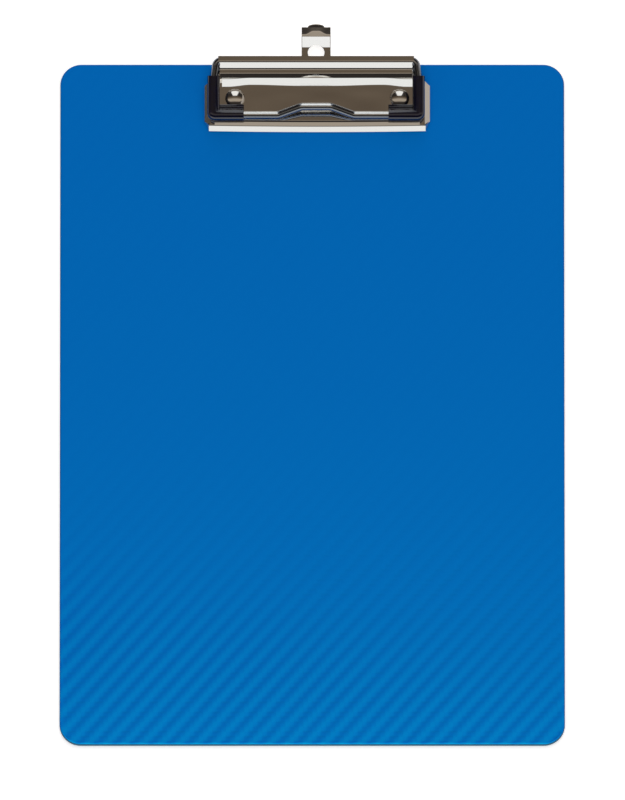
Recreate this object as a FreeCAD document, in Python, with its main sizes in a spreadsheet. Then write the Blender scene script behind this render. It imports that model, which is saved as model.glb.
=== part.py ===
import FreeCAD, Part
import math
import os

import Sketcher
from FreeCAD import Placement, Rotation, Vector

# A4 clipboard: a plastic board, a riveted clip with a sprung lever and a wire bail, and a
# hanging eye that slides out past the top edge.
# Row frame: the origin is the middle of the board's back face, +Y runs towards the clip and
# +Z out of the writing face. "Setback" is a distance from the board's top edge towards its
# middle, and "rise" is a height above the writing face.

SIZES = {
    # board
    "board_width": 226.0,
    "board_length": 318.0,
    "board_thickness": 3.0,
    "board_corner_radius": 9.5,
    "board_edge_radius": 0.8,
    # where the clip sits across the board
    "clip_offset": 2.25,
    "lever_offset": 1.75,
    # base plate, pressed from sheet
    "plate_sheet": 0.8,
    "plate_half_width": 48.3,
    "plate_rise": 2.8,
    "lip_front_setback": 31.4,
    "lip_bend_setback": 28.3,
    "lip_bend_radius": 2.0,
    "lip_toe_rise": 0.2,
    "flange_knee_half_width": 48.1,
    "flange_foot_half_width": 50.6,
    "flange_rear_setback": 9.6,
    "slope_foot_setback": 11.35,
    "slope_top_setback": 8.75,
    "slope_top_rise": 5.7,
    "crest_end_setback": 8.2,
    "crest_end_rise": 5.9,
    "slope_bend_radius": 0.6,
    "slope_half_width": 42.7,
    "arm_half_width": 46.0,
    "window_half_width": 41.6,
    "deck_front_setback": 2.9,
    "deck_rear_setback": 0.9,
    "ear_thickness": 0.8,
    "ear_radius": 2.0,
    "corner_relief_radius": 1.1,
    "mitre_setback": 27.3,
    "mitre_gap": 0.5,
    # rivets and the washers under their tails
    "rivet_spacing": 73.8,
    "rivet_setback": 16.9,
    "rivet_head_radius": 4.5,
    "rivet_head_height": 2.0,
    "rivet_shank_radius": 2.0,
    "rivet_tail_radius": 3.3,
    "rivet_tail_thickness": 0.5,
    "rivet_hole_clearance": 0.05,
    "dimple_top_radius": 3.7,
    "dimple_floor_radius": 2.7,
    "dimple_join_radius": 3.94,
    "dimple_rim_radius": 4.18,
    "washer_radius": 4.5,
    "washer_thickness": 0.5,
    "counterbore_radius": 4.8,
    "counterbore_depth": 1.3,
    # pivot pin
    "pivot_setback": 5.6,
    "pivot_rise": 4.5,
    "pin_radius": 1.0,
    "pin_head_radius": 1.5,
    "pin_head_thickness": 0.5,
    "pin_clearance": 0.05,
    # lever, pressed from sheet
    "lever_sheet": 0.9,
    "lever_half_width": 43.9,
    "lever_nose_setback": 8.1,
    "lever_nose_rise": 6.5,
    "web_front_setback": 6.6,
    "web_rear_setback": 4.2,
    "web_rise": 7.35,
    "riser_top_setback": 1.7,
    "press_lip_rise": 10.1,
    "press_lip_rear_setback": -0.7,
    "lever_bend_radius": 1.0,
    "lever_notch_half_width": 43.1,
    "lever_notch_rear_setback": 2.2,
    "lever_ear_half_width": 40.6,
    "lever_ear_radius": 1.9,
    # bail wire and its corner boots
    "wire_radius": 1.75,
    "bail_half_width": 46.0,
    "bail_front_setback": 25.5,
    "bail_rise": 5.35,
    "bail_corner_radius": 2.6,
    "wave_depth": 3.75,
    "wave_flat_half_width": 6.6,
    "wave_foot_half_width": 16.9,
    "wave_bend_radius": 5.0,
    "leg_bend_setback": 9.5,
    "leg_bend_radius": 8.0,
    "stub_setback": 0.75,
    "stub_rise": 7.9,
    "stub_corner_half_width": 44.7,
    "stub_end_half_width": 31.0,
    "boot_width": 5.0,
    "boot_end_half_width": 32.4,
    "boot_top_setback": 8.1,
    "boot_corner_radius": 3.4,
    "boot_edge_radius": 1.4,
    "foot_rear_setback": 20.2,
    "foot_thickness": 1.75,
    "foot_rivet_clearance": 0.3,
    # torsion springs round the pin
    "spring_wire_radius": 0.4,
    "spring_coil_radius": 1.65,
    "spring_pitch": 0.95,
    "spring_turns": 6.5,
    "spring_inner_half_width": 26.0,
    "spring_leg_length": 3.2,
    "spring_leg_tilt": 10.0,
    # hanging eye, pressed from sheet
    "eye_width": 13.0,
    "eye_sheet": 0.9,
    "eye_gap": 0.1,
    "eye_hole_radius": 3.7,
    "eye_hole_setback": -5.2,
    "eye_bend_setback": -9.1,
    "eye_dip_setback": -13.0,
    "eye_dip_rise": -0.5,
    "eye_end_setback": -17.2,
    "eye_end_rise": 0.3,
    "eye_bend_radius": 0.9,
    "eye_thumb_half_width": 3.7,
    "eye_thumb_length": 1.7,
    "eye_tail_width": 17.5,
    "eye_tail_front_setback": 5.5,
    "eye_slot_width": 13.8,
    "eye_slot_height": 1.5,
}

# How far a cutting tool reaches past what it cuts.
BEYOND = 2.0

DOC = FreeCAD.newDocument("clipboard")
SHEET = DOC.addObject("Spreadsheet::Sheet", "Sizes")
SUBPARTS = []


def fill_sheet():
    """Put each driving dimension in a cell of its own, under its name."""
    for row, (name, number) in enumerate(SIZES.items(), start=1):
        SHEET.set(f"A{row}", name)
        SHEET.set(f"B{row}", str(number))
        SHEET.setAlias(f"B{row}", name)
    DOC.recompute()


def size(name):
    """A driving dimension, read back from the sheet."""
    return float(getattr(SHEET, name))


def bind(item, sizes):
    """Bind an object's properties to the sheet."""
    for prop, expression in sizes.items():
        item.setExpression(prop, expression)
    return item


def keep(item, label):
    """Name an object as a sub-part that is written out."""
    item.Label = label
    SUBPARTS.append(item)
    return item


def add_shape(label, shape, placement=None):
    """A sub-part whose shape comes from Part's own functions."""
    feature = DOC.addObject("Part::Feature", label)
    feature.Shape = shape
    feature.Placement = placement or Placement()
    return keep(feature, label)


def spot(across, setback, rise):
    """A point by its place across the board, its setback and its rise."""
    return Vector(across, size("board_length") / 2 - setback, size("board_thickness") + rise)


# ---- paths and sheet sections -------------------------------------------------------------


def rounded_path(points, radii):
    """Straight edges through points, each corner rounded by a tangent arc of its radius."""
    edges = []
    start = points[0]
    for before, corner, after, radius in zip(points, points[1:], points[2:], radii):
        inward = (before - corner).normalize()
        outward = (after - corner).normalize()
        half_angle = inward.getAngle(outward) / 2
        reach = radius / math.tan(half_angle)
        middle = (inward + outward).normalize()
        centre = corner + middle * (radius / math.sin(half_angle))
        first = corner + inward * reach
        last = corner + outward * reach
        edges.append(Part.LineSegment(start, first).toShape())
        edges.append(Part.Arc(first, centre - middle * radius, last).toShape())
        start = last
    edges.append(Part.LineSegment(start, points[-1]).toShape())
    return edges


def offset_line(points, side_of, distance):
    """The polyline at a distance to one side of a polyline, its corners mitred."""
    shifted = []
    last = len(points) - 1
    for index, point in enumerate(points):
        sides = []
        if index > 0:
            sides.append(side_of((point - points[index - 1]).normalize()))
        if index < last:
            sides.append(side_of((points[index + 1] - point).normalize()))
        if len(sides) == 1:
            shifted.append(point + sides[0] * distance)
            continue
        bisector = (sides[0] + sides[1]).normalize()
        shifted.append(point + bisector * (distance / bisector.dot(sides[0])))
    return shifted


def sheet_section(points, radius, thickness, axis):
    """The face of a bent sheet's section, its bends all of one middle radius."""

    def side_of(direction):
        return axis.cross(direction)

    faces = []
    for sign in (1, -1):
        outline = offset_line(points, side_of, sign * thickness / 2)
        radii = []
        for before, corner, after in zip(points, points[1:], points[2:]):
            turn = axis.dot((corner - before).cross(after - corner))
            radii.append(radius - sign * math.copysign(thickness / 2, turn))
        faces.append((outline, rounded_path(outline, radii)))
    (left, left_edges), (right, right_edges) = faces
    cap_start = Part.LineSegment(left[0], right[0]).toShape()
    cap_end = Part.LineSegment(left[-1], right[-1]).toShape()
    edges = Part.sortEdges(left_edges + right_edges + [cap_start, cap_end])[0]
    return Part.Face(Part.Wire(edges))


def bent_sheet(profile, radius, thickness, low, high):
    """A bent sheet that runs across the board from low to high."""
    points = [spot(low, setback, rise) for setback, rise in profile]
    section = sheet_section(points, radius, thickness, Vector(1, 0, 0))
    return section.extrude(Vector(high - low, 0, 0))


def block(low_across, high_across, near_setback, far_setback, low_rise, high_rise):
    """A box between two places across, two setbacks and two rises."""
    corner = spot(low_across, far_setback, low_rise)
    return Part.makeBox(
        high_across - low_across,
        far_setback - near_setback,
        high_rise - low_rise,
        corner,
    )


def prism(outline, low_rise, high_rise):
    """An upright prism over an outline of (across, setback) points."""
    points = [spot(across, setback, low_rise) for across, setback in outline]
    face = Part.Face(Part.makePolygon(points + points[:1]))
    return face.extrude(Vector(0, 0, high_rise - low_rise))


# ---- board --------------------------------------------------------------------------------


def origin_plane(body, role):
    return next(item for item in body.Origin.OriginFeatures if item.Role == role)


def new_sketch(body, name):
    sketch = body.newObject("Sketcher::SketchObject", name)
    sketch.AttachmentSupport = [(origin_plane(body, "XY_Plane"), "")]
    sketch.MapMode = "FlatFace"
    return sketch


def draw_outline(sketch, points):
    """Closed outline of level and upright lines through points."""
    count = len(points)
    for index, (start, end) in enumerate(zip(points, points[1:] + points[:1])):
        sketch.addGeometry(Part.LineSegment(Vector(*start, 0), Vector(*end, 0)))
        level = abs(start[1] - end[1]) < abs(start[0] - end[0])
        sketch.addConstraint(Sketcher.Constraint("Horizontal" if level else "Vertical", index))
    for index in range(count):
        sketch.addConstraint(Sketcher.Constraint("Coincident", index, 2, (index + 1) % count, 1))


def dimension(sketch, kind, places, expression, start):
    """A sketch dimension bound to the sheet."""
    index = sketch.addConstraint(Sketcher.Constraint(kind, *places, start))
    sketch.setExpression(f"Constraints[{index}]", expression)


def add_pad(body, sketch, name, expression):
    pad = body.newObject("PartDesign::Pad", name)
    pad.Profile = sketch
    pad.setExpression("Length", expression)
    DOC.recompute()
    return pad


def add_fillet(body, base, name, chosen, expression):
    """Fillet the edges of base that chosen() picks."""
    names = [f"Edge{i}" for i, edge in enumerate(base.Shape.Edges, start=1) if chosen(edge)]
    fillet = body.newObject("PartDesign::Fillet", name)
    fillet.Base = (base, names)
    fillet.setExpression("Radius", expression)
    DOC.recompute()
    return fillet


def is_upright(edge):
    box = edge.BoundBox
    return box.ZLength > box.XLength + box.YLength


def rivet_circles(body, name, radius_expression):
    """Sketch of the two rivet places, as circles."""
    sketch = new_sketch(body, name)
    right_across = size("clip_offset") + size("rivet_spacing") / 2
    up = size("board_length") / 2 - size("rivet_setback")
    for across in (right_across, right_across - size("rivet_spacing")):
        circle = Part.Circle(Vector(across, up, 0), Vector(0, 0, 1), size("rivet_shank_radius"))
        index = sketch.addGeometry(circle)
        dimension(sketch, "Radius", (index,), radius_expression, size("rivet_shank_radius"))
        upright = "Sizes.board_length / 2 - Sizes.rivet_setback"
        dimension(sketch, "DistanceY", (-1, 1, index, 3), upright, up)
    offset = "Sizes.clip_offset + Sizes.rivet_spacing / 2"
    dimension(sketch, "DistanceX", (-1, 1, 0, 3), offset, right_across)
    dimension(sketch, "DistanceX", (1, 3, 0, 3), "Sizes.rivet_spacing", size("rivet_spacing"))
    return sketch


def add_pocket(body, sketch, name, through, expression=None):
    """Cut a sketch upwards out of the body, and make sure that it did cut."""
    before = body.Shape.Volume
    pocket = body.newObject("PartDesign::Pocket", name)
    pocket.Profile = sketch
    pocket.Reversed = True
    if through:
        pocket.Type = "ThroughAll"
    else:
        pocket.Type = "Length"
        pocket.setExpression("Length", expression)
    DOC.recompute()
    if body.Shape.Volume >= before:
        raise RuntimeError(f"{name} cut nothing")


def make_board():
    """The moulded board: rounded corners, softened edges and two counterbored rivet holes."""
    body = DOC.addObject("PartDesign::Body", "board")
    outline = new_sketch(body, "board_outline")
    half_width = size("board_width") / 2
    half_length = size("board_length") / 2
    corners = [(-1, -1), (1, -1), (1, 1), (-1, 1)]
    draw_outline(outline, [(x * half_width, y * half_length) for x, y in corners])
    outline.addConstraint(Sketcher.Constraint("Symmetric", 0, 1, 1, 2, -1, 1))
    dimension(outline, "DistanceX", (0, 1, 0, 2), "Sizes.board_width", 2 * half_width)
    dimension(outline, "DistanceY", (1, 1, 1, 2), "Sizes.board_length", 2 * half_length)
    slab = add_pad(body, outline, "board_slab", "Sizes.board_thickness")
    rounded = add_fillet(
        body, slab, "board_corners", is_upright, "Sizes.board_corner_radius"
    )
    softened = add_fillet(
        body, rounded, "board_edges", lambda edge: not is_upright(edge), "Sizes.board_edge_radius"
    )
    body.Tip = softened
    hole_radius = "Sizes.rivet_shank_radius + Sizes.rivet_hole_clearance"
    add_pocket(body, rivet_circles(body, "rivet_holes", hole_radius), "rivet_bores", True)
    wells = rivet_circles(body, "washer_wells", "Sizes.counterbore_radius")
    add_pocket(body, wells, "counterbores", False, "Sizes.counterbore_depth")
    return keep(body, "board")


# ---- base plate ---------------------------------------------------------------------------


def side_flange(side):
    """The sloped flange along one side of the base plate, from its flat down to the board."""
    centre = size("clip_offset")
    middle = size("plate_rise") - size("plate_sheet") / 2
    inner = size("plate_half_width") - 2 * size("lip_bend_radius")
    front = size("lip_front_setback")
    foot = size("flange_foot_half_width") - size("plate_sheet") / 2
    profile = [
        (inner, middle),
        (size("flange_knee_half_width"), middle),
        (foot, size("lip_toe_rise")),
    ]
    points = [spot(centre + side * across, front, rise) for across, rise in profile]
    section = sheet_section(
        points, size("plate_sheet"), size("plate_sheet"), Vector(0, 1, 0)
    )
    return section.extrude(Vector(0, front - size("flange_rear_setback"), 0))


def mitre_wedge(side, gap):
    """What a side flange loses to the front lip, or with a negative gap the other way."""
    centre = size("clip_offset")
    bend_across = size("plate_half_width")
    foot_across = size("flange_foot_half_width")
    bend = size("mitre_setback")
    front = size("lip_front_setback")
    slope = (front - bend) / (foot_across - bend_across)
    far_across = foot_across + BEYOND
    far_setback = front + BEYOND * slope
    near = (centre + side * (bend_across - gap), bend)
    far = (centre + side * (far_across - gap), far_setback)
    inner = (centre, far_setback)
    back = (centre, bend)
    return prism([near, far, inner, back], -BEYOND, size("plate_rise") + BEYOND)


def rivet_dimple(across):
    """A dimple that brings the plate down to the board, under a rivet's head."""
    sheet = size("plate_sheet")
    rise = size("plate_rise")
    bore = size("rivet_shank_radius") + size("rivet_hole_clearance")
    floor = size("dimple_floor_radius")
    top = size("dimple_top_radius")
    rim = size("dimple_rim_radius")
    profile = [
        (bore, 0),
        (floor + sheet / 2, 0),
        (rim, rise - sheet),
        (rim, rise),
        (top, rise),
        (floor, sheet),
        (bore, sheet),
    ]
    centre = spot(across, size("rivet_setback"), 0)
    points = [centre + Vector(radius, 0, height) for radius, height in profile]
    face = Part.Face(Part.makePolygon(points + points[:1]))
    return face.revolve(centre, Vector(0, 0, 1), 360)


def base_ear(side):
    """An upright ear of the base plate that holds one end of the pivot pin."""
    inner = size("window_half_width")
    outer = inner + size("ear_thickness")
    low, high = sorted((side * inner, side * outer))
    centre = size("clip_offset")
    setback = size("pivot_setback")
    radius = size("ear_radius")
    post = block(
        centre + low,
        centre + high,
        setback - radius,
        setback + radius,
        size("plate_rise") - size("plate_sheet"),
        size("pivot_rise"),
    )
    top = Part.makeCylinder(
        radius,
        size("ear_thickness"),
        spot(centre + low, setback, size("pivot_rise")),
        Vector(1, 0, 0),
    )
    return post.fuse(top)


def rear_wall():
    """The deck behind the window, turned down to the board, with the slot for the eye."""
    sheet = size("plate_sheet")
    middle = size("plate_rise") - sheet / 2
    rear = size("deck_rear_setback") + sheet / 2
    profile = [(size("deck_front_setback"), middle), (rear, middle), (rear, 0)]
    centre = size("clip_offset")
    half = size("arm_half_width")
    wall = bent_sheet(profile, sheet, sheet, centre - half, centre + half)
    slot_half = size("eye_slot_width") / 2
    slot = block(
        size("lever_offset") - slot_half,
        size("lever_offset") + slot_half,
        size("deck_rear_setback") - BEYOND,
        size("deck_rear_setback") + BEYOND,
        -BEYOND,
        size("eye_slot_height"),
    )
    return wall.cut(slot)


def front_side_waste(side):
    """What the front sheet loses at one side: past the flat, and past the lip's mitre line."""
    centre = size("clip_offset")
    flat = size("plate_half_width") - size("plate_sheet")
    past = size("flange_foot_half_width") + BEYOND
    low, high = sorted((centre + side * flat, centre + side * past))
    bend = size("mitre_setback")
    front = size("lip_front_setback") + BEYOND
    top = size("plate_rise") + BEYOND
    flat_waste = block(low, high, 0, bend, -BEYOND, top)
    lip_zone = block(low, high, bend, front, -BEYOND, top)
    return flat_waste.fuse(lip_zone.cut(mitre_wedge(side, size("mitre_gap") / 2)))


def make_base_plate():
    """The pressed base plate: front lip, flat, slope and crest, side arms, ears and deck."""
    centre = size("clip_offset")
    sheet = size("plate_sheet")
    rise = size("plate_rise")
    middle = rise - sheet / 2
    half = size("plate_half_width")
    outer = size("flange_foot_half_width")
    knee = size("slope_foot_setback") + sheet
    front = bent_sheet(
        [
            (size("lip_front_setback") - sheet / 2, size("lip_toe_rise")),
            (size("lip_bend_setback"), middle),
            (knee, middle),
        ],
        size("lip_bend_radius"),
        sheet,
        centre - outer,
        centre + outer,
    )
    for side in (1, -1):
        front = front.cut(front_side_waste(side))
    slope = bent_sheet(
        [
            (knee + sheet, middle),
            (size("slope_foot_setback"), middle),
            (size("slope_top_setback"), size("slope_top_rise") - sheet / 2),
            (size("crest_end_setback"), size("crest_end_rise") - sheet / 2),
        ],
        size("slope_bend_radius"),
        sheet,
        centre - size("slope_half_width"),
        centre + size("slope_half_width"),
    )
    plate = front.fuse([slope, rear_wall()])
    for side in (1, -1):
        low, high = sorted((side * size("window_half_width"), side * size("arm_half_width")))
        arm = block(
            centre + low,
            centre + high,
            size("deck_front_setback") - sheet,
            knee,
            rise - sheet,
            rise,
        )
        flange = side_flange(side).cut(mitre_wedge(side, -size("mitre_gap") / 2))
        plate = plate.fuse([arm, flange, base_ear(side)])
        rivet_across = centre + side * size("rivet_spacing") / 2
        opening = Part.makeCylinder(
            size("dimple_join_radius"),
            rise + BEYOND,
            spot(rivet_across, size("rivet_setback"), 0),
        )
        plate = plate.cut(opening).fuse(rivet_dimple(rivet_across))
        relief = Part.makeCylinder(
            size("corner_relief_radius"),
            rise + BEYOND,
            spot(centre + side * half, size("lip_bend_setback"), 0),
        )
        plate = plate.cut(relief)
    pin_bore = Part.makeCylinder(
        size("pin_radius"),
        2 * outer,
        spot(centre - outer, size("pivot_setback"), size("pivot_rise")),
        Vector(1, 0, 0),
    )
    half_board = size("board_width") / 2
    below_face = -size("board_thickness")
    under_board = block(-half_board, half_board, 0, size("board_length") / 2, below_face, 0)
    plate = plate.cut([pin_bore, under_board]).removeSplitter()
    return add_shape("base_plate", plate)


# ---- rivets, washers and pin --------------------------------------------------------------


def make_rivet(side, label):
    """A domed rivet through the plate and the board, its tail set against the washer."""
    across = f"(Sizes.clip_offset + {side} * Sizes.rivet_spacing / 2)"
    up = "(Sizes.board_length / 2 - Sizes.rivet_setback)"
    head_base = "(Sizes.board_thickness + Sizes.plate_rise)"
    tail_top = "(Sizes.counterbore_depth - Sizes.washer_thickness)"
    tail_low = f"({tail_top} - Sizes.rivet_tail_thickness)"
    ball = "((Sizes.rivet_head_radius ^ 2 + Sizes.rivet_head_height ^ 2)"
    ball = f"{ball} / (2 * Sizes.rivet_head_height))"
    drop = f"({ball} - Sizes.rivet_head_height)"
    head = DOC.addObject("Part::Sphere", f"{label}_head")
    bind(head, {"Radius": ball, "Angle1": f"asin({drop} / {ball})"})
    shank = DOC.addObject("Part::Cylinder", f"{label}_shank")
    shank_length = f"{head_base} + Sizes.rivet_head_height / 2 - {tail_low}"
    bind(shank, {"Radius": "Sizes.rivet_shank_radius", "Height": shank_length})
    tail = DOC.addObject("Part::Cylinder", f"{label}_tail")
    bind(tail, {"Radius": "Sizes.rivet_tail_radius", "Height": "Sizes.rivet_tail_thickness"})
    heights = ((head, f"{head_base} - {drop}"), (shank, tail_low), (tail, tail_low))
    for item, height in heights:
        bind(item, {".Placement.Base.x": across, ".Placement.Base.y": up})
        bind(item, {".Placement.Base.z": height})
    rivet = DOC.addObject("Part::MultiFuse", label)
    rivet.Shapes = [head, shank, tail]
    return keep(rivet, label)


def make_washer(side, label):
    """A flat washer in the counterbore at the board's back."""
    across = f"(Sizes.clip_offset + {side} * Sizes.rivet_spacing / 2)"
    up = "(Sizes.board_length / 2 - Sizes.rivet_setback)"
    low = "(Sizes.counterbore_depth - Sizes.washer_thickness)"
    rings = []
    for name, radius in (("disc", "washer_radius"), ("hole", "rivet_shank_radius")):
        ring = DOC.addObject("Part::Cylinder", f"{label}_{name}")
        bind(ring, {"Radius": f"Sizes.{radius}", "Height": "Sizes.washer_thickness"})
        bind(ring, {".Placement.Base.x": across, ".Placement.Base.y": up})
        bind(ring, {".Placement.Base.z": low})
        rings.append(ring)
    washer = DOC.addObject("Part::Cut", label)
    washer.Base, washer.Tool = rings
    return keep(washer, label)


def make_pivot_pin():
    """The pin through the ears, with a flat head at each end."""
    ear_outer = "(Sizes.window_half_width + Sizes.ear_thickness)"
    pieces = []
    stretches = (
        ("rod", "Sizes.pin_radius", f"-{ear_outer}", f"2 * {ear_outer}"),
        (
            "left_head",
            "Sizes.pin_head_radius",
            f"-{ear_outer} - Sizes.pin_head_thickness",
            "Sizes.pin_head_thickness",
        ),
        ("right_head", "Sizes.pin_head_radius", ear_outer, "Sizes.pin_head_thickness"),
    )
    for name, radius, start, length in stretches:
        piece = DOC.addObject("Part::Cylinder", f"pin_{name}")
        piece.Placement = Placement(Vector(), Rotation(Vector(0, 1, 0), 90))
        bind(piece, {"Radius": radius, "Height": length})
        bind(piece, {".Placement.Base.x": f"Sizes.clip_offset + {start}"})
        bind(piece, {".Placement.Base.y": "Sizes.board_length / 2 - Sizes.pivot_setback"})
        bind(piece, {".Placement.Base.z": "Sizes.board_thickness + Sizes.pivot_rise"})
        pieces.append(piece)
    pin = DOC.addObject("Part::MultiFuse", "pivot_pin")
    pin.Shapes = pieces
    return keep(pin, "pivot_pin")


# ---- springs ------------------------------------------------------------------------------


def make_spring(side, label):
    """A torsion spring round the pin: one leg lifts the lever, the other bears on the deck."""
    radius = size("spring_coil_radius")
    pitch = size("spring_pitch")
    turns = size("spring_turns")
    helix = Part.makeHelix(pitch, pitch * turns, radius)
    path_edges = list(helix.Edges)
    leg = size("spring_leg_length")
    begin = path_edges[0].valueAt(path_edges[0].FirstParameter)
    lead_in = path_edges[0].tangentAt(path_edges[0].FirstParameter)
    end = path_edges[-1].valueAt(path_edges[-1].LastParameter)
    lead_out = path_edges[-1].tangentAt(path_edges[-1].LastParameter)
    first_leg = Part.LineSegment(begin - lead_in * leg, begin).toShape()
    last_leg = Part.LineSegment(end, end + lead_out * leg).toShape()
    path = Part.Wire([first_leg] + path_edges + [last_leg])
    circle = Part.Circle(begin - lead_in * leg, lead_in, size("spring_wire_radius"))
    coil = path.makePipeShell([Part.Wire(circle.toShape())], True, False)
    # The coil's axis goes along the pin, and both legs, which run along its -Y, go to the rear.
    tilt = math.radians(size("spring_leg_tilt"))
    rearward = Vector(0, math.cos(tilt), math.sin(tilt))
    upward = Vector(0, -math.sin(tilt), math.cos(tilt))
    turned = Rotation(upward, -rearward, Vector(1, 0, 0), "ZXY")
    inner = size("spring_inner_half_width")
    start = inner if side > 0 else -inner - pitch * turns
    middle = spot(size("lever_offset") + start, size("pivot_setback"), size("pivot_rise"))
    return add_shape(label, coil, Placement(middle, turned))


# ---- lever, bail and boots ----------------------------------------------------------------


def lever_ear(side):
    """A flat ear under the lever that turns on the pivot pin."""
    thickness = size("lever_sheet")
    outer = size("lever_ear_half_width")
    low, high = sorted((side * outer, side * (outer - thickness)))
    centre = size("lever_offset")
    setback = size("pivot_setback")
    radius = size("lever_ear_radius")
    rise = size("pivot_rise")
    shank = block(
        centre + low,
        centre + high,
        setback - radius,
        setback + radius,
        rise,
        size("web_rise") - thickness / 2,
    )
    start = spot(centre + low, setback, rise)
    boss = Part.makeCylinder(radius, thickness, start, Vector(1, 0, 0))
    bore_radius = size("pin_radius") + size("pin_clearance")
    bore = Part.makeCylinder(bore_radius, thickness, start, Vector(1, 0, 0))
    return shank.fuse(boss).cut(bore)


def lever_notch(side):
    """What is cut from one end of the lever to let the bail's leg pass."""
    centre = size("lever_offset")
    near = size("lever_notch_half_width")
    past = size("lever_half_width") + BEYOND
    low, high = sorted((centre + side * near, centre + side * past))
    return block(
        low,
        high,
        size("lever_notch_rear_setback"),
        size("lever_nose_setback") + BEYOND,
        0,
        size("press_lip_rise") - size("lever_sheet") / 2,
    )


def make_lever():
    """The pressed lever: a drooping nose, a web, a riser and the lip that a thumb presses."""
    half = size("lever_half_width")
    centre = size("lever_offset")
    profile = [
        (size("lever_nose_setback"), size("lever_nose_rise")),
        (size("web_front_setback"), size("web_rise")),
        (size("web_rear_setback"), size("web_rise")),
        (size("riser_top_setback"), size("press_lip_rise")),
        (size("press_lip_rear_setback"), size("press_lip_rise")),
    ]
    pressing = bent_sheet(
        profile, size("lever_bend_radius"), size("lever_sheet"), centre - half, centre + half
    )
    for side in (1, -1):
        pressing = pressing.cut(lever_notch(side))
    ears = [lever_ear(side) for side in (1, -1)]
    return add_shape("lever", pressing.fuse(ears).removeSplitter())


def bail_path():
    """The bail's route, from under the lever's lip at one end round to the other."""
    centre = size("lever_offset")
    front = size("bail_front_setback")
    rise = size("bail_rise")
    half_route = [
        (size("stub_end_half_width"), size("stub_setback"), size("stub_rise")),
        (size("stub_corner_half_width"), size("stub_setback"), size("stub_rise")),
        (size("bail_half_width"), size("leg_bend_setback"), rise),
        (size("bail_half_width"), front, rise),
        (size("wave_foot_half_width"), front, rise),
        (size("wave_flat_half_width"), front - size("wave_depth"), rise),
    ]
    half_radii = [
        size("bail_corner_radius"),
        size("leg_bend_radius"),
        size("bail_corner_radius"),
        size("wave_bend_radius"),
        size("wave_bend_radius"),
    ]
    left = [spot(centre - across, setback, height) for across, setback, height in half_route]
    right = [spot(centre + across, setback, height) for across, setback, height in half_route]
    return rounded_path(left + right[::-1], half_radii + half_radii[::-1])


def make_bail_wire():
    """The bail: one bent wire whose turned-in ends are welded under the lever's lip."""
    path = Part.Wire(bail_path())
    start = path.Edges[0].valueAt(path.Edges[0].FirstParameter)
    circle = Part.Circle(start, Vector(1, 0, 0), size("wire_radius"))
    wire = path.makePipeShell([Part.Wire(circle.toShape())], True, False)
    return add_shape("bail_wire", wire)


def make_boot_form():
    """The plain left boot as a body: an L over the bail's corner and a flat foot inside it."""
    body = DOC.addObject("PartDesign::Body", "boot_form")
    width = size("boot_width")
    outer = size("bail_half_width") + width / 2
    along = outer - size("boot_end_half_width")
    up = size("bail_front_setback") + width / 2 - size("boot_top_setback")
    outline = new_sketch(body, "boot_outline")
    draw_outline(outline, [(0, 0), (along, 0), (along, width), (width, width), (width, up), (0, up)])
    outline.addConstraint(Sketcher.Constraint("Coincident", 0, 1, -1, 1))
    half_boot = "Sizes.boot_width / 2"
    reach = f"Sizes.bail_half_width + {half_boot} - Sizes.boot_end_half_width"
    climb = f"Sizes.bail_front_setback + {half_boot} - Sizes.boot_top_setback"
    dimension(outline, "DistanceX", (0, 1, 0, 2), reach, along)
    dimension(outline, "DistanceY", (1, 1, 1, 2), "Sizes.boot_width", width)
    dimension(outline, "DistanceX", (4, 2, 4, 1), "Sizes.boot_width", width)
    dimension(outline, "DistanceY", (5, 2, 5, 1), climb, up)
    shell = add_pad(body, outline, "boot_shell", "Sizes.boot_width")
    corner = add_fillet(
        body,
        shell,
        "boot_corner",
        lambda edge: is_upright(edge) and edge.BoundBox.XMax + edge.BoundBox.YMax < width / 2,
        "Sizes.boot_corner_radius",
    )

    def is_long_rim(edge):
        box = edge.BoundBox
        at_end = box.XMin > along - width / 2 or box.YMin > up - width / 2
        return not is_upright(edge) and not at_end

    rounded = add_fillet(body, corner, "boot_rims", is_long_rim, "Sizes.boot_edge_radius")
    foot = new_sketch(body, "foot_outline")
    inner = up - (size("foot_rear_setback") - size("boot_top_setback"))
    draw_outline(foot, [(width / 2, width / 2), (along, width / 2), (along, inner), (width / 2, inner)])
    dimension(foot, "DistanceX", (-1, 1, 0, 1), half_boot, width / 2)
    dimension(foot, "DistanceY", (-1, 1, 0, 1), half_boot, width / 2)
    dimension(foot, "DistanceX", (0, 1, 0, 2), f"{reach} - {half_boot}", along - width / 2)
    depth = "Sizes.bail_front_setback - Sizes.foot_rear_setback"
    dimension(foot, "DistanceY", (1, 1, 1, 2), depth, inner - width / 2)
    body.Tip = add_pad(body, foot, "boot_foot", "Sizes.foot_thickness")
    corner_setback = "(Sizes.bail_front_setback + Sizes.boot_width / 2)"
    left_edge = "(Sizes.lever_offset - Sizes.bail_half_width - Sizes.boot_width / 2)"
    bind(body, {".Placement.Base.x": left_edge})
    bind(body, {".Placement.Base.y": f"Sizes.board_length / 2 - {corner_setback}"})
    low = "Sizes.board_thickness + Sizes.bail_rise - Sizes.boot_width / 2"
    bind(body, {".Placement.Base.z": low})
    DOC.recompute()
    return body


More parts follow.
